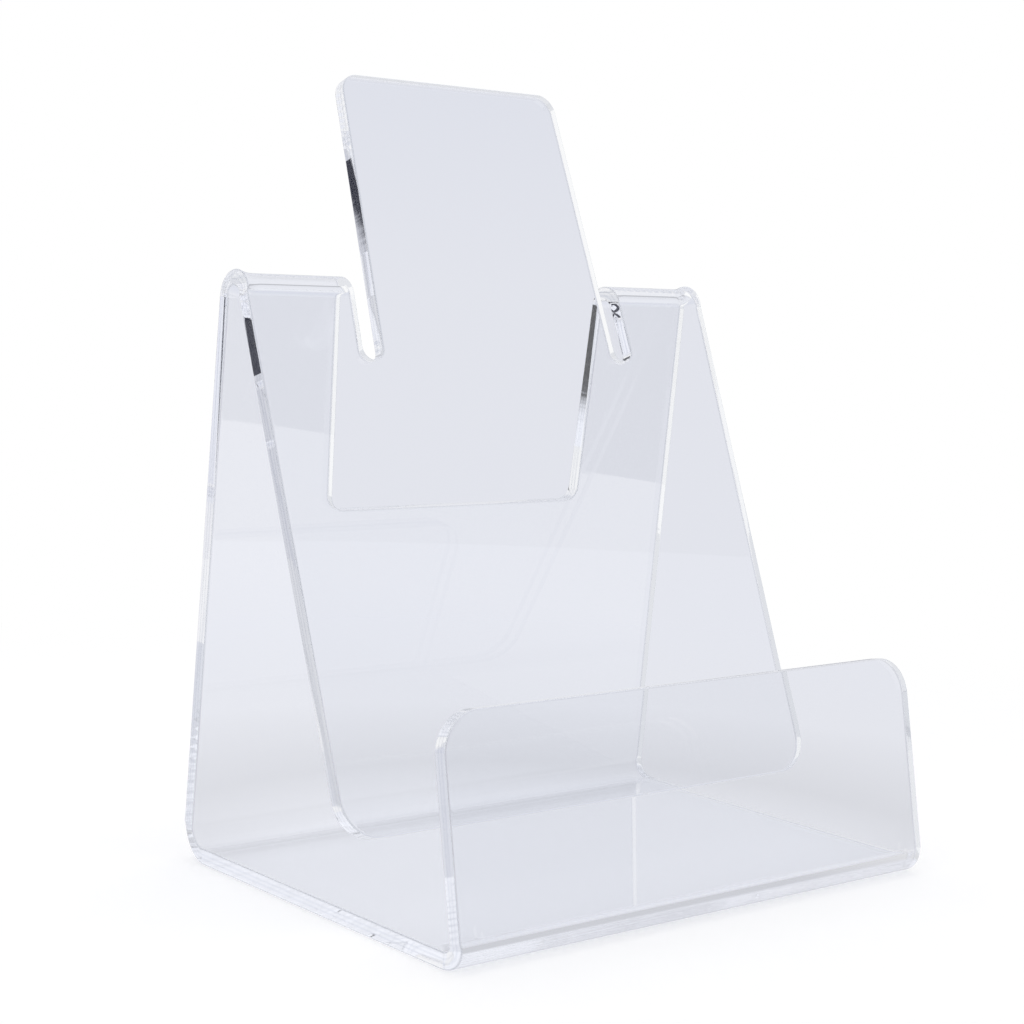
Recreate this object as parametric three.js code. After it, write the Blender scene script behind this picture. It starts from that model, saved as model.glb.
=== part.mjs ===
// A counter-top leaflet holder for A6 cards, bent from one sheet of clear acrylic.
// The flat blank is drawn with its cut-out, and is then bent along three straight lines.
// Millimetres. X runs across the holder, Y from its front to its rear, and Z up.
// On the blank, u runs across, v runs along the sheet from the lip's top edge to the
// backrest's free edge, and depth goes through the sheet from its outer face.
import * as THREE from 'three';
import { mergeVertices } from 'three/addons/utils/BufferGeometryUtils.js';

// Driving sizes of the sheet and of its profile
const SHEET_THICKNESS = 3;
const HOLDER_WIDTH = 115;
const LIP_HEIGHT = 42.3;            // table to the lip's top edge, on its front face
const LIP_LEAN = 10.7;              // degrees from upright, towards the rear
const POCKET_DEPTH = 27;            // from the lip to the backrest's free edge
const BACKREST_LEAN = 21.2;         // degrees from upright
const BACKREST_CLEARANCE = 10.8;    // from the base up to the backrest's free edge
const FOLD_HEIGHT = 111.9;          // table to the top of the fold over riser and backrest
const RISER_LEAN = 4.6;             // degrees from upright, towards the front
const FRONT_BEND_RADIUS = 1.5;      // the three bend radii are on the inside of the bend
const REAR_BEND_RADIUS = 3.5;
const FOLD_RADIUS = 1.8;

// Driving sizes of the tongue and of the U-shaped slot that frees it from the riser
const TONGUE_RISE = 39.2;           // from the top of the fold to the tongue's tip
const TONGUE_ROOT_WIDTH = 57.8;     // where the backrest runs into the fold
const TONGUE_TAPER = 2.5;           // degrees on each side
const TONGUE_CORNER_RADIUS = 4;
const SLOT_WIDTH = 4.7;
const SLOT_DROP = 13;               // how far the slot's round ends reach into the backrest
const WINDOW_CORNER_RADIUS = 3;
const SHEET_CORNER_RADIUS = 7.5;    // at the lip's and the backrest's free corners

// Fineness of the round stretches, and the least step that is kept along the blank
const BEND_STEPS = 14;
const ARC_STEPS = 5;                // for half a curve; a full corner has twice as many
const LEAST_STEP = 0.01;

const radians = THREE.MathUtils.degToRad;
const sin = (degrees) => Math.sin(radians(degrees));
const cos = (degrees) => Math.cos(radians(degrees));
const tan = (degrees) => Math.tan(radians(degrees));

// Flat lengths between the bends, from the heights and leans of the finished holder
const frontOuter = FRONT_BEND_RADIUS + SHEET_THICKNESS;
const rearOuter = REAR_BEND_RADIUS + SHEET_THICKNESS;
const foldOuter = FOLD_RADIUS + SHEET_THICKNESS;
const foldAxisHeight = FOLD_HEIGHT - foldOuter;
const backrestTopHeight = foldAxisHeight + foldOuter * sin(BACKREST_LEAN);
const freeEdgeHeight = SHEET_THICKNESS * (1 + sin(BACKREST_LEAN)) + BACKREST_CLEARANCE;
const lipFlat = (LIP_HEIGHT - frontOuter * (1 + sin(LIP_LEAN))) / cos(LIP_LEAN);
const backrestFlat = (backrestTopHeight - freeEdgeHeight) / cos(BACKREST_LEAN);
const riserFlat = (foldAxisHeight - rearOuter) / cos(RISER_LEAN)
  + (foldOuter - rearOuter) * tan(RISER_LEAN);

// Distances along Y from the axis of the front bend give the base its length
const lipFaceAtFreeEdge = -FRONT_BEND_RADIUS * cos(LIP_LEAN)
  + (freeEdgeHeight - frontOuter - FRONT_BEND_RADIUS * sin(LIP_LEAN)) * tan(LIP_LEAN);
const backrestTopReach = lipFaceAtFreeEdge + POCKET_DEPTH
  + backrestFlat * sin(BACKREST_LEAN);
const foldAxisReach = backrestTopReach + foldOuter * cos(BACKREST_LEAN);
const baseFlat = foldAxisReach + (foldOuter - rearOuter) * cos(RISER_LEAN)
  + riserFlat * sin(RISER_LEAN);

// The runs of the sheet in order, each one flat or turned by an angle about a bend's axis
const runs = [
  { length: lipFlat },
  { turn: 90 + LIP_LEAN, radius: FRONT_BEND_RADIUS },
  { length: baseFlat },
  { turn: 90 + RISER_LEAN, radius: REAR_BEND_RADIUS },
  { length: riserFlat },
  { turn: 180 - RISER_LEAN - BACKREST_LEAN, radius: FOLD_RADIUS },
  { length: backrestFlat },
];
const backrest = runs.at(-1);

// Walks along the outer face, from the lip's top edge, and notes where each run begins
function layOut() {
  let start = 0;
  let heading = radians(270 - LIP_LEAN);
  const outer = new THREE.Vector2();
  for (const run of runs) {
    run.start = start;
    run.heading = heading;
    run.outer = outer.clone();
    const ahead = new THREE.Vector2(Math.cos(heading), Math.sin(heading));
    const inward = new THREE.Vector2(-ahead.y, ahead.x);
    if (run.turn) {
      run.axis = outer.clone().addScaledVector(inward, run.radius + SHEET_THICKNESS);
      run.length = radians(run.turn) * (run.radius + SHEET_THICKNESS / 2);
      outer.rotateAround(run.axis, radians(run.turn));
      heading += radians(run.turn);
    } else {
      outer.addScaledVector(ahead, run.length);
    }
    start += run.length;
  }
  return start;
}
const blankLength = layOut();

// The tongue stays in line with the backrest, past the place where the fold begins
const tongueLength = (TONGUE_RISE + FOLD_HEIGHT - backrestTopHeight) / cos(BACKREST_LEAN);
const tongueTip = backrest.start - tongueLength;
const slotEnd = backrest.start + SLOT_DROP;
const windowEdge = tongueTip - SLOT_WIDTH;
const tongueSide = (v) => TONGUE_ROOT_WIDTH / 2 - (backrest.start - v) * tan(TONGUE_TAPER);
const slotAcross = SLOT_WIDTH / cos(TONGUE_TAPER);

function isOnTongue(u, v) {
  const inLength = v > tongueTip - SLOT_WIDTH / 2 && v < backrest.start;
  return inLength && Math.abs(u) < tongueSide(v) + slotAcross / 2;
}

// Points of a closed outline through corners [u, v, radius], with a round arc at each one
function roundedLoop(corners) {
  const path = new THREE.Path();
  corners.forEach(([u, v, radius], i) => {
    const corner = new THREE.Vector2(u, v);
    const back = new THREE.Vector2(...corners.at(i - 1)).sub(corner).normalize();
    const on = new THREE.Vector2(...corners[(i + 1) % corners.length]).sub(corner).normalize();
    const halfAngle = Math.acos(THREE.MathUtils.clamp(back.dot(on), -1, 1)) / 2;
    const middle = back.clone().add(on).normalize();
    const centre = corner.clone().addScaledVector(middle, radius / Math.sin(halfAngle));
    const first = corner.clone().addScaledVector(back, radius / Math.tan(halfAngle)).sub(centre);
    const last = corner.clone().addScaledVector(on, radius / Math.tan(halfAngle)).sub(centre);
    const clockwise = back.cross(on) > 0;
    path.absarc(centre.x, centre.y, radius, first.angle(), last.angle(), clockwise);
  });
  return path.getPoints(ARC_STEPS);
}

// The outline runs anticlockwise, with the sheet on its left
function blankLoop() {
  const halfWidth = HOLDER_WIDTH / 2;
  return roundedLoop([
    [-halfWidth, 0, SHEET_CORNER_RADIUS],
    [halfWidth, 0, SHEET_CORNER_RADIUS],
    [halfWidth, blankLength, SHEET_CORNER_RADIUS],
    [-halfWidth, blankLength, SHEET_CORNER_RADIUS],
  ]);
}

// The slot runs round the tongue, and its two round ends are square to its legs
function slotLoop() {
  const roundEnd = SLOT_WIDTH / 2;
  const innerEnd = tongueSide(slotEnd);
  const outerEnd = innerEnd + SLOT_WIDTH * cos(TONGUE_TAPER);
  const outerEndLine = slotEnd - SLOT_WIDTH * sin(TONGUE_TAPER);
  const leftSide = [
    [-tongueSide(windowEdge) - slotAcross, windowEdge, WINDOW_CORNER_RADIUS],
    [-outerEnd, outerEndLine, roundEnd],
    [-innerEnd, slotEnd, roundEnd],
    [-tongueSide(tongueTip), tongueTip, TONGUE_CORNER_RADIUS],
  ];
  const rightSide = leftSide.map(([u, v, radius]) => [-u, v, radius]).reverse();
  return roundedLoop([...leftSide, ...rightSide]);
}

// Lines across the blank, at each corner of its loops and at each step of a bend
function findLevels(loops) {
  const steps = Array.from({ length: BEND_STEPS + 1 }, (_, i) => i / BEND_STEPS);
  const bends = runs.filter((run) => run.turn);
  const bendLevels = bends.flatMap((run) => steps.map((step) => run.start + run.length * step));
  const levels = [...bendLevels, ...loops.flat().map((point) => point.y)].sort((a, b) => a - b);
  return levels.filter((level, i) => i === 0 || level - levels[i - 1] > LEAST_STEP);
}

// Puts each point on its nearest level, and drops one that lies on the point before it
function settle(loop, levels) {
  const settled = loop.map(({ x, y }) => {
    const level = levels.reduce((best, item) => (Math.abs(item - y) < Math.abs(best - y) ? item : best));
    return new THREE.Vector2(x, level);
  });
  return settled.filter((point, i) => point.distanceTo(settled.at(i - 1)) > LEAST_STEP);
}

function edgesOf(loop) {
  return loop.map((point, i) => [point, loop[(i + 1) % loop.length]]);
}

// The lower end comes first, so that an edge gives its neighbours the very same point
function pointAt(edge, level) {
  const [low, high] = edge[0].y < edge[1].y ? edge : [edge[1], edge[0]];
  if (level === low.y) return low;
  if (level === high.y) return high;
  const point = low.clone().lerp(high, (level - low.y) / (high.y - low.y));
  point.y = level;
  return point;
}

// The walls of the cut edges, as rows of points in the direction of their loop
function wallRows(edges, levels) {
  return edges.map(([from, to]) => {
    const between = levels.filter((level) => (level - from.y) * (level - to.y) < 0);
    if (to.y < from.y) between.reverse();
    return [from, ...between.map((level) => pointAt([from, to], level)), to];
  });
}

// The blank's face as flat triangles, from ladders between neighbouring levels
function faceTriangles(edges, levels) {
  const sloping = edges.filter(([from, to]) => from.y !== to.y);
  const spans = (edge, low, high) => (
    Math.min(edge[0].y, edge[1].y) <= low && Math.max(edge[0].y, edge[1].y) >= high);
  const rungs = levels.map((level) => {
    const points = sloping.filter((edge) => spans(edge, level, level));
    return points.map((edge) => pointAt(edge, level)).sort((a, b) => a.x - b.x)
      .filter((point, i, row) => i === 0 || point.x - row[i - 1].x > LEAST_STEP);
  });
  return levels.slice(1).flatMap((high, i) => {
    const low = levels[i];
    const sides = sloping.filter((edge) => spans(edge, low, high));
    const middle = (edge) => pointAt(edge, (low + high) / 2).x;
    sides.sort((a, b) => middle(a) - middle(b));
    const triangles = [];
    for (let k = 0; k < sides.length; k += 2) {
      const [left, right] = [sides[k], sides[k + 1]];
      const cut = (rung, level) => rung.filter(({ x }) => (
        x > pointAt(left, level).x - LEAST_STEP && x < pointAt(right, level).x + LEAST_STEP));
      const below = cut(rungs[i], low);
      const above = cut(rungs[i + 1], high);
      below.slice(1).forEach((point, n) => triangles.push([above[0], below[n], point]));
      above.slice(1).forEach((point, n) => triangles.push([below.at(-1), point, above[n]]));
    }
    return triangles;
  });
}

// Moves a point of the flat blank to its place on the bent sheet
function bend({ x: u, y: v }, depth) {
  const run = isOnTongue(u, v) ? backrest : runs.findLast((item) => v >= item.start) ?? runs[0];
  const along = v - run.start;
  const ahead = new THREE.Vector2(Math.cos(run.heading), Math.sin(run.heading));
  const inward = new THREE.Vector2(-ahead.y, ahead.x);
  const place = run.outer.clone().addScaledVector(inward, depth);
  if (run.turn) place.rotateAround(run.axis, radians(run.turn) * along / run.length);
  else place.addScaledVector(ahead, along);
  return new THREE.Vector3(u, place.x, place.y);
}

// The origin goes under the middle of the base, on the table
function sheetGeometry() {
  const loops = [blankLoop(), slotLoop()];
  const levels = findLevels(loops);
  const edges = loops.flatMap((loop) => edgesOf(settle(loop, levels)));
  const corners = [];
  for (const [a, b, c] of faceTriangles(edges, levels)) {
    corners.push(bend(c, 0), bend(b, 0), bend(a, 0));
    corners.push(...[a, b, c].map((point) => bend(point, SHEET_THICKNESS)));
  }
  for (const row of wallRows(edges, levels)) {
    row.slice(1).forEach((to, i) => {
      const [a, b] = [bend(row[i], 0), bend(to, 0)];
      const [c, d] = [bend(to, SHEET_THICKNESS), bend(row[i], SHEET_THICKNESS)];
      corners.push(a, b, c, a, c, d);
    });
  }
  const bent = new THREE.BufferGeometry().setFromPoints(corners);
  bent.computeBoundingBox();
  const { min, max } = bent.boundingBox;
  bent.translate(0, -(min.y + max.y) / 2, -min.z);
  const merged = mergeVertices(bent);
  merged.computeVertexNormals();
  return merged;
}

const clearAcrylic = new THREE.MeshStandardMaterial({
  color: 0xe6e9f0,
  roughness: 0.04,
  metalness: 0,
  transparent: true,
  opacity: 0.35,
});

const holderSheet = new THREE.Mesh(sheetGeometry(), clearAcrylic);
holderSheet.name = 'bent_acrylic_sheet';

const brochureHolder = new THREE.Group();
brochureHolder.add(holderSheet);

export default brochureHolder;
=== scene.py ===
import math

import bmesh
import bpy
from mathutils import Matrix, Vector
from mathutils.geometry import tessellate_polygon


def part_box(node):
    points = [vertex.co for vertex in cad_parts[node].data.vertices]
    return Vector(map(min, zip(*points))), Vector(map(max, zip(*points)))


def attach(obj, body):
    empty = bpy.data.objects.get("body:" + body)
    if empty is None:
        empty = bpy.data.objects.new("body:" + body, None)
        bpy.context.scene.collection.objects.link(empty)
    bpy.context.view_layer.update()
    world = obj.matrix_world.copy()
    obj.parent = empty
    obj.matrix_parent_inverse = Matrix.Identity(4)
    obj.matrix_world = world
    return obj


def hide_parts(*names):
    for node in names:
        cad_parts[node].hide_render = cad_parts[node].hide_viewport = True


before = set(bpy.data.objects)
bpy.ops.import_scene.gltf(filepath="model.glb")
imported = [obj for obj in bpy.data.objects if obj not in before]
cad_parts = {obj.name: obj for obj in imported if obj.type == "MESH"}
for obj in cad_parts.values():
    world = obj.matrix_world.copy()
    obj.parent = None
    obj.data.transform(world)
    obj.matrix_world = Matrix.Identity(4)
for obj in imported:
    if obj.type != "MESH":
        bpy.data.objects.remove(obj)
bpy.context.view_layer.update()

# A leaflet holder bent from one sheet of clear acrylic, in metres.
# On the flat blank, u runs across, v runs from the lip's top edge to the backrest's free
# edge, and depth goes through the sheet from its outer face.
MM = 0.001
CAD_NODE = "bent_acrylic_sheet"
HOLDER_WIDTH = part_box(CAD_NODE)[1].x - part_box(CAD_NODE)[0].x

# Driving sizes of the sheet, the same as in the solid
SHEET_THICKNESS = 3 * MM
LIP_HEIGHT = 42.3 * MM
LIP_LEAN = math.radians(10.7)
POCKET_DEPTH = 27 * MM
BACKREST_LEAN = math.radians(21.2)
BACKREST_CLEARANCE = 10.8 * MM
FOLD_HEIGHT = 111.9 * MM
RISER_LEAN = math.radians(4.6)
FRONT_BEND_RADIUS = 1.5 * MM
REAR_BEND_RADIUS = 3.5 * MM
FOLD_RADIUS = 1.8 * MM
TONGUE_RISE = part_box(CAD_NODE)[1].z - FOLD_HEIGHT
TONGUE_ROOT_WIDTH = 57.8 * MM
TONGUE_TAPER = math.radians(2.5)
TONGUE_CORNER_RADIUS = 4 * MM
SLOT_WIDTH = 4.7 * MM
SLOT_DROP = 13 * MM
WINDOW_CORNER_RADIUS = 3 * MM
SHEET_CORNER_RADIUS = 7.5 * MM

# What only the visual model has: rounded and scraped edges, and the shape of a bend's ends
EDGE_ROUNDING = 0.3 * MM
EDGE_STEPS = 4
# Edges across the holder get this share of an arris's frosting and grey tint, so that they stay bright:
# painted light
ARRIS_SHARE_ACROSS = 0.3
ARC_STEP = math.radians(5)
BEND_STEP = math.radians(2.5)
BEND_END_REACH = 4 * MM
BEND_END_RISE = 0.8 * MM
BEND_END_DRAW = 0.45 * MM
BEND_END_STEPS = 8
BEND_END_SPREAD = 1.5
MERGE_DISTANCE = 0.0001 * MM

front_outer = FRONT_BEND_RADIUS + SHEET_THICKNESS
rear_outer = REAR_BEND_RADIUS + SHEET_THICKNESS
fold_outer = FOLD_RADIUS + SHEET_THICKNESS


def lay_out():
    """The runs of the sheet in order, each with its length, turn, heading and start."""
    fold_axis_height = FOLD_HEIGHT - fold_outer
    backrest_top = fold_axis_height + fold_outer * math.sin(BACKREST_LEAN)
    free_edge = SHEET_THICKNESS * (1 + math.sin(BACKREST_LEAN)) + BACKREST_CLEARANCE
    lip = (LIP_HEIGHT - front_outer * (1 + math.sin(LIP_LEAN))) / math.cos(LIP_LEAN)
    backrest = (backrest_top - free_edge) / math.cos(BACKREST_LEAN)
    riser = (fold_axis_height - rear_outer) / math.cos(RISER_LEAN)
    riser += (fold_outer - rear_outer) * math.tan(RISER_LEAN)
    lip_face = -FRONT_BEND_RADIUS * math.cos(LIP_LEAN)
    lip_face += (free_edge - front_outer - FRONT_BEND_RADIUS * math.sin(LIP_LEAN)) * math.tan(LIP_LEAN)
    base = lip_face + POCKET_DEPTH + backrest * math.sin(BACKREST_LEAN)
    base += fold_outer * math.cos(BACKREST_LEAN) + (fold_outer - rear_outer) * math.cos(RISER_LEAN)
    base += riser * math.sin(RISER_LEAN)
    runs = [
        {"length": lip},
        {"turn": math.pi / 2 + LIP_LEAN, "radius": FRONT_BEND_RADIUS, "rise": 0},
        {"length": base},
        {"turn": math.pi / 2 + RISER_LEAN, "radius": REAR_BEND_RADIUS, "rise": 0},
        {"length": riser},
        {"turn": math.pi - RISER_LEAN - BACKREST_LEAN, "radius": FOLD_RADIUS, "rise": BEND_END_RISE},
        {"length": backrest},
    ]
    start, heading, outer = 0.0, 1.5 * math.pi - LIP_LEAN, Vector((0, 0))
    for run in runs:
        run.update(start=start, heading=heading, outer=outer.copy())
        ahead = Vector((math.cos(heading), math.sin(heading)))
        if "turn" in run:
            run["length"] = run["turn"] * (run["radius"] + SHEET_THICKNESS / 2)
            run["axis"] = outer + (run["radius"] + SHEET_THICKNESS) * ahead.orthogonal()
            outer = run["axis"] + Matrix.Rotation(run["turn"], 2) @ (outer - run["axis"])
            heading += run["turn"]
        else:
            outer = outer + run["length"] * ahead
        start += run["length"]
    return runs, start, backrest_top


runs, blank_length, backrest_top = lay_out()
backrest = runs[-1]
tongue_length = (TONGUE_RISE + FOLD_HEIGHT - backrest_top) / math.cos(BACKREST_LEAN)
tongue_tip = backrest["start"] - tongue_length
slot_end = backrest["start"] + SLOT_DROP
window_edge = tongue_tip - SLOT_WIDTH
slot_across = SLOT_WIDTH / math.cos(TONGUE_TAPER)


def tongue_side(v):
    return TONGUE_ROOT_WIDTH / 2 - (backrest["start"] - v) * math.tan(TONGUE_TAPER)


def is_on_tongue(u, v):
    in_length = tongue_tip - SLOT_WIDTH / 2 < v < backrest["start"]
    return in_length and abs(u) < tongue_side(v) + slot_across / 2


def rounded_loop(corners):
    """Points of a closed outline through corners (u, v, radius), each with the way out of the sheet."""
    loop = []
    for i, (u, v, radius) in enumerate(corners):
        corner = Vector((u, v))
        back = (Vector(corners[i - 1][:2]) - corner).normalized()
        on = (Vector(corners[(i + 1) % len(corners)][:2]) - corner).normalized()
        half = back.angle(on) / 2
        centre = corner + (back + on).normalized() * radius / math.sin(half)
        first = corner + back * radius / math.tan(half) - centre
        turn = math.pi - 2 * half
        outward = 1
        if back.cross(on) > 0:
            turn, outward = -turn, -1
        steps = max(2, round(abs(turn) / ARC_STEP))
        for k in range(steps + 1):
            arm = Matrix.Rotation(turn * k / steps, 2) @ first
            loop.append((centre + arm, outward * arm.normalized()))
    return loop


def blank_loop():
    half = HOLDER_WIDTH / 2
    corners = [(-half, 0), (half, 0), (half, blank_length), (-half, blank_length)]
    return rounded_loop([(u, v, SHEET_CORNER_RADIUS) for u, v in corners])


def slot_loop():
    inner_end = tongue_side(slot_end)
    outer_end = inner_end + SLOT_WIDTH * math.cos(TONGUE_TAPER)
    outer_line = slot_end - SLOT_WIDTH * math.sin(TONGUE_TAPER)
    left = [
        (-tongue_side(window_edge) - slot_across, window_edge, WINDOW_CORNER_RADIUS),
        (-outer_end, outer_line, SLOT_WIDTH / 2),
        (-inner_end, slot_end, SLOT_WIDTH / 2),
        (-tongue_side(tongue_tip), tongue_tip, TONGUE_CORNER_RADIUS),
    ]
    return rounded_loop(left + [(-u, v, radius) for u, v, radius in reversed(left)])


def flat_blank():
    """The blank as a closed flat body with its edges rounded over. Each vertex keeps its place on
    the blank, how far it is on a cut edge, the same where that edge runs along the holder's side,
    and how far it is on a scraped arris. Edges across the holder get less frosting and grey tint
    there, so that they stay bright: painted light."""
    mesh = bmesh.new()
    on_blank = mesh.verts.layers.float_vector.new("blank_place")
    on_edge = mesh.verts.layers.float.new("cut_edge")
    on_side = mesh.verts.layers.float.new("side_edge")
    on_arris = mesh.verts.layers.float.new("arris")
    angles = [math.pi / 2 * k / EDGE_STEPS for k in range(EDGE_STEPS + 1)]
    rings = [(EDGE_ROUNDING * (1 - math.sin(a)), EDGE_ROUNDING * (1 - math.cos(a)),
              math.sin(a) ** 2, math.sin(2 * a)) for a in angles]
    rings += [(inset, SHEET_THICKNESS - depth, edge, arris)
              for inset, depth, edge, arris in reversed(rings)]
    caps = [[], []]
    for loop in (blank_loop(), slot_loop()):
        rows = []
        for inset, depth, edge, arris in rings:
            row = [mesh.verts.new((*(p - inset * out), depth)) for p, out in loop]
            for vert, (p, out) in zip(row, loop):
                vert[on_blank] = vert.co
                vert[on_edge] = edge
                vert[on_side] = edge * abs(out.x)
                # Less frosting and grey tint on edges across the holder, so that they stay bright:
                # painted light
                vert[on_arris] = arris * (ARRIS_SHARE_ACROSS + (1 - ARRIS_SHARE_ACROSS) * abs(out.x))
            rows.append(row)
        for low, high in zip(rows, rows[1:]):
            for i in range(len(low)):
                mesh.faces.new((low[i - 1], low[i], high[i], high[i - 1]))
        caps[0].append(rows[0])
        caps[1].append(rows[-1])
    for side, cap in enumerate(caps):
        verts = [v for row in cap for v in row]
        for a, b, c in tessellate_polygon([[v.co.xy.to_3d() for v in row] for row in cap]):
            face = mesh.faces.new((verts[a], verts[b], verts[c]))
            face.normal_update()
            if (face.normal.z > 0) != bool(side):
                face.normal_flip()
    bmesh.ops.remove_doubles(mesh, verts=mesh.verts, dist=MERGE_DISTANCE)
    return mesh


def cut_across(mesh, place, way):
    geometry = mesh.verts[:] + mesh.edges[:] + mesh.faces[:]
    bmesh.ops.bisect_plane(mesh, geom=geometry, dist=MERGE_DISTANCE, plane_co=place, plane_no=way)


def crease(mesh):
    """Cuts the blank where it bends, and closer together near its sides."""
    for run in runs:
        if "turn" not in run:
            continue
        steps = round(run["turn"] / BEND_STEP)
        for k in range(steps + 1):
            cut_across(mesh, (0, run["start"] + run["length"] * k / steps, 0), (0, 1, 0))
    for k in range(1, BEND_END_STEPS + 1):
        reach = BEND_END_REACH * (k / BEND_END_STEPS) ** BEND_END_SPREAD
        for side in (-1, 1):
            cut_across(mesh, (side * (HOLDER_WIDTH / 2 - reach), 0, 0), (1, 0, 0))


def bend(u, v, depth):
    """The place on the bent sheet of a point of the blank."""
    run = backrest
    if not is_on_tongue(u, v):
        run = next((r for r in reversed(runs) if v >= r["start"]), runs[0])
    along = v - run["start"]
    ahead = Vector((math.cos(run["heading"]), math.sin(run["heading"])))
    inward = Vector((-ahead.y, ahead.x))
    if "turn" not in run:
        place = run["outer"] + depth * inward + along * ahead
        return Vector((u, place.x, place.y))
    nearness = max(0, 1 - (HOLDER_WIDTH / 2 - abs(u)) / BEND_END_REACH) ** 2
    swell = math.sin(math.pi * min(1, max(0, along / run["length"]))) ** 0.5
    arm = run["outer"] + (depth - run["rise"] * nearness * swell) * inward - run["axis"]
    place = run["axis"] + Matrix.Rotation(run["turn"] * along / run["length"], 2) @ arm
    drawn = BEND_END_DRAW * nearness * swell * (1 - depth / SHEET_THICKNESS)
    return Vector((u - math.copysign(drawn, u), place.x, place.y))


def acrylic_sheet():
    """The bent sheet, standing on the table and centred between the solid's front and rear."""
    mesh = flat_blank()
    crease(mesh)
    for vert in mesh.verts:
        vert.co = bend(*vert.co)
    low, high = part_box(CAD_NODE)
    ys = [vert.co.y for vert in mesh.verts]
    zs = [vert.co.z for vert in mesh.verts]
    shift = Vector((0, (low.y + high.y - min(ys) - max(ys)) / 2, -min(zs)))
    bmesh.ops.translate(mesh, verts=mesh.verts, vec=shift)
    for face in mesh.faces:
        face.smooth = True
    data = bpy.data.meshes.new("acrylic_sheet")
    mesh.to_mesh(data)
    mesh.free()
    piece = bpy.data.objects.new("acrylic_sheet", data)
    bpy.context.scene.collection.objects.link(piece)
    shading = piece.modifiers.new("even_faces", "WEIGHTED_NORMAL")
    shading.weight = 100
    shading.keep_sharp = False
    return piece


# The sockets of a Mix node that take and give colours
MIX_INPUTS = (6, 7)
MIX_OUTPUT = 2


def node(tree, kind, inputs=None, **settings):
    """A new shader node with its settings, and its inputs as values or sockets."""
    made = tree.nodes.new("ShaderNode" + kind)
    for name, value in settings.items():
        setattr(made, name, value)
    for name, value in (inputs or {}).items():
        if isinstance(value, bpy.types.NodeSocket):
            tree.links.new(value, made.inputs[name])
        else:
            made.inputs[name].default_value = value
    return made


def math_node(tree, operation, *values, clamp=False):
    made = node(tree, "Math", dict(enumerate(values)), operation=operation, use_clamp=clamp)
    return made.outputs[0]


def mix_colours(tree, factor, first, second):
    """The first colour, or the second where the factor is 1. Each is a socket or three numbers."""
    inputs = {"Factor": factor}
    for socket, colour in zip(MIX_INPUTS, (first, second)):
        inputs[socket] = (*colour, 1) if isinstance(colour, tuple) else colour
    return node(tree, "Mix", inputs, data_type="RGBA").outputs[MIX_OUTPUT]


def mix_shaders(tree, factor, first, second):
    """The first shader node, or the second where the factor is 1."""
    return node(tree, "MixShader", {0: factor, 1: first.outputs[0], 2: second.outputs[0]})


def both(tree, first, second):
    """1 where both values are 1, and 0 where either is 0."""
    return math_node(tree, "MULTIPLY", first, second)


def is_within(tree, value, span):
    """1 where a value is inside a span, which is its middle and how far it reaches either way."""
    return math_node(tree, "COMPARE", value, *span)


def by_sheet(tree, path):
    """1 for a ray that the sheet mirrors or lets through."""
    return math_node(tree, "ADD", path["Is Glossy Ray"], path["Is Transmission Ray"], clamp=True)


def ramp(tree, value, stops, tint):
    """A tinted tone that depends on a value from 0 to 1, from stops (value, tone)."""
    made = node(tree, "ValToRGB", {"Fac": value})
    while len(made.color_ramp.elements) < len(stops):
        made.color_ramp.elements.new(0.5)
    for element, (position, tone) in zip(made.color_ramp.elements, stops):
        element.position = position
        element.color = (*(tone * part for part in tint), 1)
    return made.outputs[0]


def ramp_by_height(tree, height, stops):
    """A tone of the room that depends on a direction's height, from stops (height, tone)."""
    share = math_node(tree, "MULTIPLY_ADD", height, 0.5, 0.5)
    return ramp(tree, share, [(0.5 + 0.5 * z, tone) for z, tone in stops], ROOM_TINT)


def empty_tree(owner):
    """The node tree of a material or world, with nothing in it."""
    owner.use_nodes = True
    owner.node_tree.nodes.clear()
    return owner.node_tree


# Clear cast acrylic, with the scales of its waves, haze and marks per metre
ACRYLIC_TINT = (0.985, 0.99, 1.0)
ACRYLIC_IOR = 1.49
SHADOW_TINT = (0.93, 0.935, 0.95)
WAVES = {"Scale": 60.0, "Detail": 1.0}
WAVE_BUMP = {"Strength": 0.008, "Distance": 0.5 * MM}
HAZE = {"Scale": 45.0, "Detail": 2.0}
HAZE_ROUGHNESS = {"From Min": 0.4, "From Max": 0.7, "To Min": 0.0, "To Max": 0.02}
MARKS = {"Scale": 900.0, "Detail": 1.0}
MARK_BUMP = {"Strength": 0.02, "Distance": 0.2 * MM}
ARRIS_ROUGHNESS = 0.25
ARRIS_TINT = (0.70, 0.715, 0.75)
LINE_OFFSET = 0.4 * MM
LINE_HALF_WIDTH = 0.24 * MM
LINE_ROUGHNESS = 0.06
LINE_TINT = (0.74, 0.76, 0.81)
ALONG_OUTLINE = (1.0, 1.0, 0.0)


def polishing_lines(tree, blank, side):
    """1 on the two lines along a side edge, either side of the sheet's middle."""
    depth = node(tree, "SeparateXYZ", {"Vector": blank}).outputs["Z"]
    off_middle = math_node(tree, "ABSOLUTE", math_node(tree, "SUBTRACT", depth, SHEET_THICKNESS / 2))
    off_line = math_node(tree, "ABSOLUTE", math_node(tree, "SUBTRACT", off_middle, LINE_OFFSET))
    line = node(tree, "MapRange", {"Value": off_line, "From Min": LINE_HALF_WIDTH, "From Max": 0.0},
                interpolation_type="SMOOTHSTEP").outputs["Result"]
    return both(tree, line, side)


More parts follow.
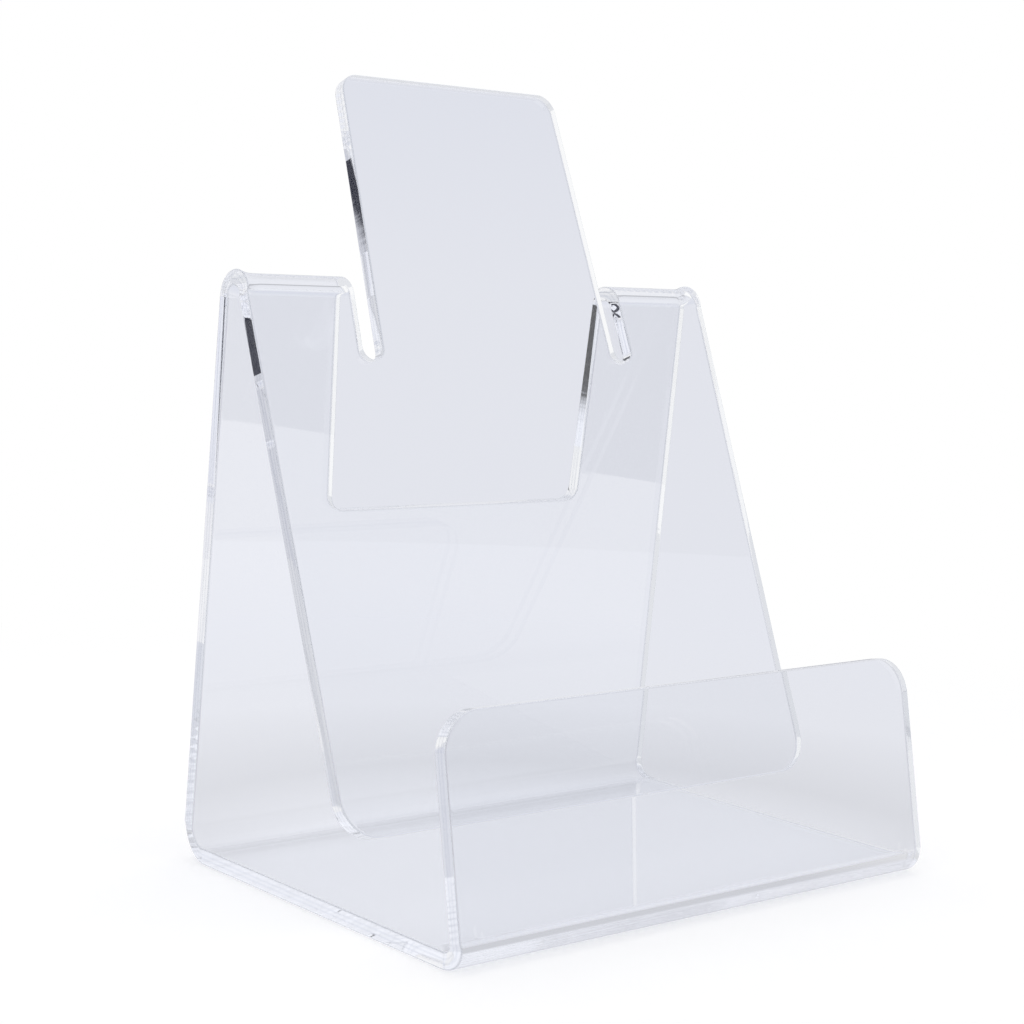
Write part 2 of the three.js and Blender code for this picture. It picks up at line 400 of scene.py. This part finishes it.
def clear_acrylic():
    """Clear cast acrylic: faintly wavy polished faces, cut edges with fine marks across them and
    polishing lines along the side edges, and scraped arrises that are a little frosted and tinted
    grey, less on edges across the holder so that these stay bright: painted light."""
    material = bpy.data.materials.new("clear_acrylic")
    tree = empty_tree(material)
    place = node(tree, "TexCoord").outputs["Object"]
    blank = node(tree, "Attribute", attribute_name="blank_place").outputs["Vector"]
    edge = node(tree, "Attribute", attribute_name="cut_edge").outputs["Fac"]
    side = node(tree, "Attribute", attribute_name="side_edge").outputs["Fac"]
    arris = node(tree, "Attribute", attribute_name="arris").outputs["Fac"]
    waves = node(tree, "TexNoise", {"Vector": place, **WAVES}).outputs["Fac"]
    haze = node(tree, "TexNoise", {"Vector": place, **HAZE}).outputs["Fac"]
    on_outline = node(tree, "VectorMath", {0: blank, 1: ALONG_OUTLINE}, operation="MULTIPLY").outputs[0]
    marks = node(tree, "TexNoise", {"Vector": on_outline, **MARKS}).outputs["Fac"]
    wavy = node(tree, "Bump", {"Height": waves, **WAVE_BUMP}).outputs[0]
    on_edge = both(tree, marks, edge)
    marked = node(tree, "Bump", {"Height": on_edge, "Normal": wavy, **MARK_BUMP}).outputs[0]
    line = polishing_lines(tree, blank, side)
    rough = node(tree, "MapRange", {"Value": haze, **HAZE_ROUGHNESS}).outputs["Result"]
    rough = math_node(tree, "MULTIPLY_ADD", arris, ARRIS_ROUGHNESS, rough)
    rough = math_node(tree, "MULTIPLY_ADD", line, LINE_ROUGHNESS, rough)
    # Grey tint of the frosted arrises, weaker on edges across the holder so that these stay bright:
    # painted light
    tint = mix_colours(tree, arris, ACRYLIC_TINT, ARRIS_TINT)
    tint = mix_colours(tree, line, tint, LINE_TINT)
    body = node(tree, "BsdfPrincipled", {
        "Base Color": tint, "Roughness": rough, "IOR": ACRYLIC_IOR, "Transmission Weight": 1.0,
        "Normal": marked})
    lamp_light = node(tree, "BsdfTransparent", {"Color": (*SHADOW_TINT, 1)})
    mixed = mix_shaders(tree, node(tree, "LightPath").outputs["Is Shadow Ray"], body, lamp_light)
    output = node(tree, "OutputMaterial")
    tree.links.new(mixed.outputs[0], output.inputs["Surface"])
    return material


# The studio around the holder
WHITE = (1.0, 1.0, 1.0)
DARK = (0.05, 0.05, 0.06)
AMBIENT = (0.4, 0.4, 0.405)
BACKDROP_ABOVE = (0.745, 0.765, 0.84)
BACKDROP_BELOW = (0.80, 0.812, 0.868)
BACKDROP_FADE = {"From Min": 0.0, "From Max": 0.15}

# Above these depths, light counts as mirrored, as guided in the sheet or as let through a face
MIRRORED_DEPTH = 0.5
GUIDED_DEPTH = 2.5
CROSSED_DEPTH = 0.5

# The room that is mirrored, as (height, tone) of a direction, and its spans of x and of height
ROOM_TINT = (0.97, 0.985, 1.05)
FRONT_LIMIT = -0.2
ROOM_AHEAD = [(-1.0, 0.12), (-0.03, 0.2), (0.0, 0.5), (1.0, 0.6)]
ROOM_BEHIND = [(-1.0, 0.9), (-0.25, 0.7), (-0.1, 0.5), (0.12, 0.5), (0.25, 0.8), (1.0, 0.9)]
SIDE_WALL = (0.2, 0.22, 0.42)
SIDE_WALL_ACROSS = (-0.65, 0.17)
SIDE_WALL_HEIGHT = (-0.1, 0.2)
PANEL_START = 0.82
PANEL_HEIGHT = (0.12, 0.03)

# The room that guided light meets: dark bands at the front, and white all round
GUIDED_AHEAD = [
    (-1.0, 1.0), (-0.205, 1.0), (-0.195, 0.0), (-0.04, 0.0), (0.0, 0.6), (0.30, 0.7),
    (0.505, 0.7), (0.515, 0.0), (0.60, 0.0), (0.61, 1.0), (1.0, 1.0)]
GUIDED_AROUND = [(-1.0, 0.85), (-0.25, 0.75), (-0.1, 0.9), (0.1, 0.97), (0.7, 0.95), (1.0, 0.85)]
DARK_SIDE_AZIMUTH = math.radians(-52)
WHITE_SIDE_TOP = 0.1


def mirrored_room(tree, way, is_front, crossings):
    """The tones in the polished faces: dark in front, pale behind and white at the left, with a
    dark panel at the right. From outside, the left side edges mirror a grey wall."""
    ahead = ramp_by_height(tree, way["Z"], ROOM_AHEAD)
    behind = ramp_by_height(tree, way["Z"], ROOM_BEHIND)
    is_left = math_node(tree, "LESS_THAN", way["X"], 0.0)
    behind = mix_colours(tree, is_left, behind, WHITE)
    is_beside = is_within(tree, way["X"], SIDE_WALL_ACROSS)
    is_wall = both(tree, is_beside, is_within(tree, way["Z"], SIDE_WALL_HEIGHT))
    was_outside = math_node(tree, "LESS_THAN", crossings, CROSSED_DEPTH)
    behind = mix_colours(tree, both(tree, is_wall, was_outside), behind, SIDE_WALL)
    is_far_right = math_node(tree, "GREATER_THAN", way["X"], PANEL_START)
    is_panel = both(tree, is_far_right, is_within(tree, way["Z"], PANEL_HEIGHT))
    behind = mix_colours(tree, is_panel, behind, DARK)
    return mix_colours(tree, is_front, behind, ahead)


def guided_room(tree, way, is_front):
    """The tones that light guided inside the sheet meets where it leaves."""
    ahead = ramp_by_height(tree, way["Z"], GUIDED_AHEAD)
    around = ramp_by_height(tree, way["Z"], GUIDED_AROUND)
    side = math_node(tree, "MULTIPLY", way["Y"], math.cos(DARK_SIDE_AZIMUTH))
    side = math_node(tree, "MULTIPLY_ADD", way["X"], -math.sin(DARK_SIDE_AZIMUTH), side)
    is_white_side = math_node(tree, "LESS_THAN", side, 0.0)
    is_low = math_node(tree, "LESS_THAN", way["Z"], WHITE_SIDE_TOP)
    is_other = math_node(tree, "SUBTRACT", 1.0, both(tree, is_white_side, is_low))
    return mix_colours(tree, both(tree, is_front, is_other), around, ahead)


def studio_world():
    """White to the camera. Through the sheet it shows the backdrop, the polished faces mirror one
    room, and light that the sheet guides between its faces meets another."""
    world = bpy.data.worlds.new("studio")
    bpy.context.scene.world = world
    tree = empty_tree(world)
    path = node(tree, "LightPath").outputs
    way = node(tree, "SeparateXYZ", {"Vector": node(tree, "TexCoord").outputs["Generated"]}).outputs
    backdrop = node(tree, "MapRange", {"Value": way["Z"], **BACKDROP_FADE}).outputs["Result"]
    pale = mix_colours(tree, backdrop, BACKDROP_BELOW, BACKDROP_ABOVE)
    is_front = math_node(tree, "LESS_THAN", way["Y"], FRONT_LIMIT)
    mirrored = mirrored_room(tree, way, is_front, path["Transmission Depth"])
    was_mirrored = math_node(tree, "GREATER_THAN", path["Glossy Depth"], MIRRORED_DEPTH)
    was_guided = math_node(tree, "GREATER_THAN", path["Glossy Depth"], GUIDED_DEPTH)
    seen = mix_colours(tree, was_mirrored, pale, mirrored)
    seen = mix_colours(tree, was_guided, seen, guided_room(tree, way, is_front))
    shown = mix_colours(tree, by_sheet(tree, path), AMBIENT, seen)
    shown = mix_colours(tree, path["Is Camera Ray"], shown, WHITE)
    background = node(tree, "Background", {"Color": shown, "Strength": 1.0})
    output = node(tree, "OutputWorld")
    tree.links.new(background.outputs[0], output.inputs["Surface"])


# The floor, with rings of painted shadow as (distance from the middle, tone)
FLOOR_RADIUS = 0.5
FLOOR_SEGMENTS = 128
FLOOR_GAP = 0.05 * MM
FLOOR_COLOUR = (0.87, 0.87, 0.875)
FLOOR_GLOW = 0.19
FLOOR_FADE = {"From Min": 0.12, "From Max": 0.3}
FLOOR_PAINTED_SHADOW_RINGS = [(0.0, 1.05), (0.05, 1.05), (0.09, 0.88), (0.16, 1.03)]
FLOOR_PALE_SHARE = 0.8

# The table that mirrored and guided light meets, the way to its front edge, and spans across it. It glows
# with painted shadow and painted light
TABLE_FRONT = (0.687, -0.727, 0.0)
TABLE_REACH = 0.344
TABLE_FADE = {"From Min": 0.05, "From Max": 0.15}
# Near the holder the table is darker, painted shadow; farther off, in mirrored light, it is brighter than
# white, painted light
TABLE_NEAR_PAINTED_SHADOW = (0.78, 0.79, 0.82)
TABLE_FAR_PAINTED_LIGHT = (1.2, 1.18, 1.14)
GUIDED_NEAR_PAINTED_SHADOW = (0.93, 0.93, 0.95)
GUIDED_FAR = (0.95, 0.95, 0.95)
# Painted shadow under the bends, where mirrored light meets the table
UNDER_BEND_PAINTED_SHADOW = (0.60, 0.61, 0.65)
UNDER_BEND_ACROSS = (0.042, 0.006)
# A painted dark reflection: a dark spot on the table at the right, met only by light mirrored three to
# six times in the sheet
DARK_SPOT_START = 0.16
DARK_SPOT_ACROSS = (0.06, 0.14)
DARK_SPOT_DEPTH = (4.5, 2.0)
# A painted grey reflection: a strip of the table met only by light mirrored fifteen times or more in the
# sheet
GREY_STRIP = (0.72, 0.735, 0.80)
GREY_STRIP_ACROSS = (0.045, 0.09)
GREY_STRIP_DEPTH = 14.5


def table_tone(tree, place, ahead, glossy_depth):
    """The table's tone in mirrored light, with painted shadow near the holder and under the bends and
    painted light brighter than white farther off; and in guided light, a little painted shadow near the
    holder, with a dark spot at the right and a grey strip for light that was guided a long way, both
    painted reflections."""
    spot = node(tree, "SeparateXYZ", {"Vector": place}).outputs
    was_guided = math_node(tree, "GREATER_THAN", glossy_depth, GUIDED_DEPTH)
    # Near the holder: painted shadow
    near = mix_colours(tree, was_guided, TABLE_NEAR_PAINTED_SHADOW, GUIDED_NEAR_PAINTED_SHADOW)
    # Painted shadow under the bends, in mirrored light only
    is_under_bend = is_within(tree, math_node(tree, "ABSOLUTE", spot["Y"]), UNDER_BEND_ACROSS)
    is_shaded = both(tree, is_under_bend, math_node(tree, "SUBTRACT", 1.0, was_guided))
    near = mix_colours(tree, is_shaded, near, UNDER_BEND_PAINTED_SHADOW)
    # Farther off: painted light brighter than white in mirrored light
    far = mix_colours(tree, was_guided, TABLE_FAR_PAINTED_LIGHT, GUIDED_FAR)
    distance = node(tree, "MapRange", {"Value": ahead, **TABLE_FADE}).outputs["Result"]
    tone = mix_colours(tree, distance, near, far)
    # Painted dark reflection: the dark spot at the right
    is_far_right = math_node(tree, "GREATER_THAN", spot["X"], DARK_SPOT_START)
    is_spot = both(tree, is_far_right, is_within(tree, spot["Y"], DARK_SPOT_ACROSS))
    is_spot = both(tree, is_spot, is_within(tree, glossy_depth, DARK_SPOT_DEPTH))
    tone = mix_colours(tree, is_spot, tone, DARK)
    # Painted grey reflection for light that was guided a long way
    was_guided_far = math_node(tree, "GREATER_THAN", glossy_depth, GREY_STRIP_DEPTH)
    is_grey = both(tree, was_guided_far, is_within(tree, spot["Y"], GREY_STRIP_ACROSS))
    return mix_colours(tree, is_grey, tone, GREY_STRIP)


def floor_material():
    """Pale with the holder's shadow to the camera, fading to white. The sheet shows the backdrop's tone
    through it with a painted shadow ring, and mirrors the table up to its front edge, which glows with
    painted shadow and painted light."""
    material = bpy.data.materials.new("floor")
    tree = empty_tree(material)
    place = node(tree, "TexCoord").outputs["Object"]
    path = node(tree, "LightPath").outputs
    away = node(tree, "VectorMath", {0: place}, operation="LENGTH").outputs["Value"]
    fade = node(tree, "MapRange", {"Value": away, **FLOOR_FADE},
                interpolation_type="SMOOTHSTEP").outputs["Result"]
    lit = node(tree, "BsdfDiffuse", {"Color": (*FLOOR_COLOUR, 1)})
    glow = node(tree, "Emission", {"Color": (*WHITE, 1), "Strength": FLOOR_GLOW})
    near = node(tree, "AddShader", {0: lit.outputs[0], 1: glow.outputs[0]})
    white = node(tree, "Emission", {"Color": (*WHITE, 1), "Strength": 1.0})
    to_camera = mix_shaders(tree, fade, near, white)
    # Seen through the sheet the floor glows in the backdrop's tone, with a painted shadow ring around the
    # holder
    rings = ramp(tree, away, FLOOR_PAINTED_SHADOW_RINGS, BACKDROP_BELOW)
    pale = node(tree, "Emission", {"Color": rings, "Strength": 1.0})
    through = mix_shaders(tree, fade, mix_shaders(tree, FLOOR_PALE_SHARE, lit, pale), pale)
    ahead = node(tree, "VectorMath", {0: place, 1: TABLE_FRONT}, operation="DOT_PRODUCT").outputs["Value"]
    # The mirrored table glows with painted shadow and painted light
    tone = table_tone(tree, place, ahead, path["Glossy Depth"])
    table = node(tree, "Emission", {"Color": tone, "Strength": 1.0})
    past_table = node(tree, "BsdfTransparent")
    is_past_edge = math_node(tree, "GREATER_THAN", ahead, TABLE_REACH)
    mirrored = mix_shaders(tree, is_past_edge, table, past_table)
    was_mirrored = math_node(tree, "GREATER_THAN", path["Glossy Depth"], MIRRORED_DEPTH)
    in_sheet = mix_shaders(tree, was_mirrored, through, mirrored)
    shown = mix_shaders(tree, by_sheet(tree, path), lit, in_sheet)
    shown = mix_shaders(tree, path["Is Camera Ray"], shown, to_camera)
    output = node(tree, "OutputMaterial")
    tree.links.new(shown.outputs[0], output.inputs["Surface"])
    return material


def studio_floor():
    """A round floor just under the holder."""
    mesh = bmesh.new()
    bmesh.ops.create_circle(mesh, cap_ends=True, radius=FLOOR_RADIUS, segments=FLOOR_SEGMENTS)
    data = bpy.data.meshes.new("floor")
    mesh.to_mesh(data)
    mesh.free()
    floor = bpy.data.objects.new("floor", data)
    floor.location.z = -FLOOR_GAP
    bpy.context.scene.collection.objects.link(floor)
    data.materials.append(floor_material())


# The lamps face the middle of the holder
LAMP_AIM = Vector((0, 0, 0.07))


def softbox(name, place, size, power):
    """A large square lamp that the sheet doesn't mirror."""
    data = bpy.data.lights.new(name, "AREA")
    data.shape = "SQUARE"
    data.size = size
    data.energy = power
    lamp = bpy.data.objects.new(name, data)
    lamp.location = place
    lamp.visible_glossy = False
    lamp.visible_transmission = False
    lamp.rotation_euler = (LAMP_AIM - Vector(place)).to_track_quat("-Z", "Y").to_euler()
    bpy.context.scene.collection.objects.link(lamp)


# The camera, low at the front left, with its lens and sensor in millimetres
CAMERA_PLACE = (-0.26958, -0.30632, 0.11235)
CAMERA_YAW = math.radians(39.876)
CAMERA_PITCH = math.radians(-6.137)
CAMERA_ROLL = math.radians(2.241)
CAMERA_LENS = 75.50
CAMERA_SENSOR = 36
CAMERA_NEAREST = 10 * MM


def photo_camera():
    data = bpy.data.cameras.new("camera")
    data.sensor_width = CAMERA_SENSOR
    data.lens = CAMERA_LENS
    data.clip_start = CAMERA_NEAREST
    camera = bpy.data.objects.new("camera", data)
    turn = Matrix.Rotation(-CAMERA_YAW, 4, "Z") @ Matrix.Rotation(math.pi / 2 + CAMERA_PITCH, 4, "X")
    camera.matrix_world = Matrix.Translation(CAMERA_PLACE) @ turn @ Matrix.Rotation(CAMERA_ROLL, 4, "Z")
    bpy.context.scene.collection.objects.link(camera)
    bpy.context.scene.camera = camera


sheet = acrylic_sheet()
sheet.data.materials.append(clear_acrylic())
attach(sheet, "root")
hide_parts(CAD_NODE)

studio_world()
studio_floor()
softbox("softbox_top", place=(0.1, 0.1, 0.9), size=0.8, power=5.0)
softbox("softbox_left", place=(-0.8, -0.2, 0.6), size=0.6, power=1.5)
photo_camera()

# The sheet guides light over many reflections
LIGHT_BOUNCES = 256
scene = bpy.context.scene
scene.view_settings.view_transform = "Standard"
scene.cycles.max_bounces = LIGHT_BOUNCES
scene.cycles.glossy_bounces = LIGHT_BOUNCES
scene.cycles.transmission_bounces = LIGHT_BOUNCES
